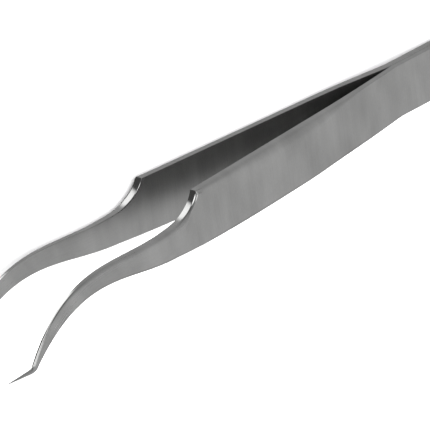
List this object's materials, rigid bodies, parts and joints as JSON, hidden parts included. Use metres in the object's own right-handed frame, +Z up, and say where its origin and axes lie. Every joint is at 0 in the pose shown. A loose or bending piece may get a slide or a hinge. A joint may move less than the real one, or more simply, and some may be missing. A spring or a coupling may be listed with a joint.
{
  "type": "curved fine-point tweezers",
  "caption": "Slim steel hand tweezers with flat spring arms welded at the tail, scalloped shoulders and sickle-curved needle points.",
  "frame": {"origin": "middle of the lower blade's flat outer face, on which the tweezers lie", "axes": "+X towards the points, +Y towards the side the points curve to, +Z up from the lower arm to the upper arm"},
  "size_m": [0.1184, 0.0142, 0.0189],
  "materials": {
    "arm_steel": "satin brushed across the width, ground bright in the scallop and along the neck's edges",
    "weld_steel": "fused, dull"
  },
  "bodies": {
    "tail": {"upper_arm_tail": "arm_steel", "lower_arm_tail": "arm_steel", "tail_weld_front": "weld_steel", "tail_weld_rear": "weld_steel", "upper_arm_leaf": "arm_steel", "lower_arm_leaf": "arm_steel"},
    "upper_arm": {"upper_arm_blade": "arm_steel"},
    "lower_arm": {"lower_arm_blade": "arm_steel"}
  },
  "joints": [
    {"name": "upper_arm_flex", "type": "hinge", "parent": "tail", "child": "upper_arm", "pos_m": [-0.034, -0.00061, 0.00469], "axis": [0, 1, 0], "range_deg": [0, 4.6], "stiffness_Nm_per_rad": 1.5, "deforming": ["upper_arm_leaf"]},
    {"name": "lower_arm_flex", "type": "hinge", "parent": "tail", "child": "lower_arm", "pos_m": [-0.03379, -0.00061, 0.00211], "axis": [0, -1, 0], "range_deg": [0, 4.6], "stiffness_Nm_per_rad": 1.5, "deforming": ["lower_arm_leaf"]}
  ]
}
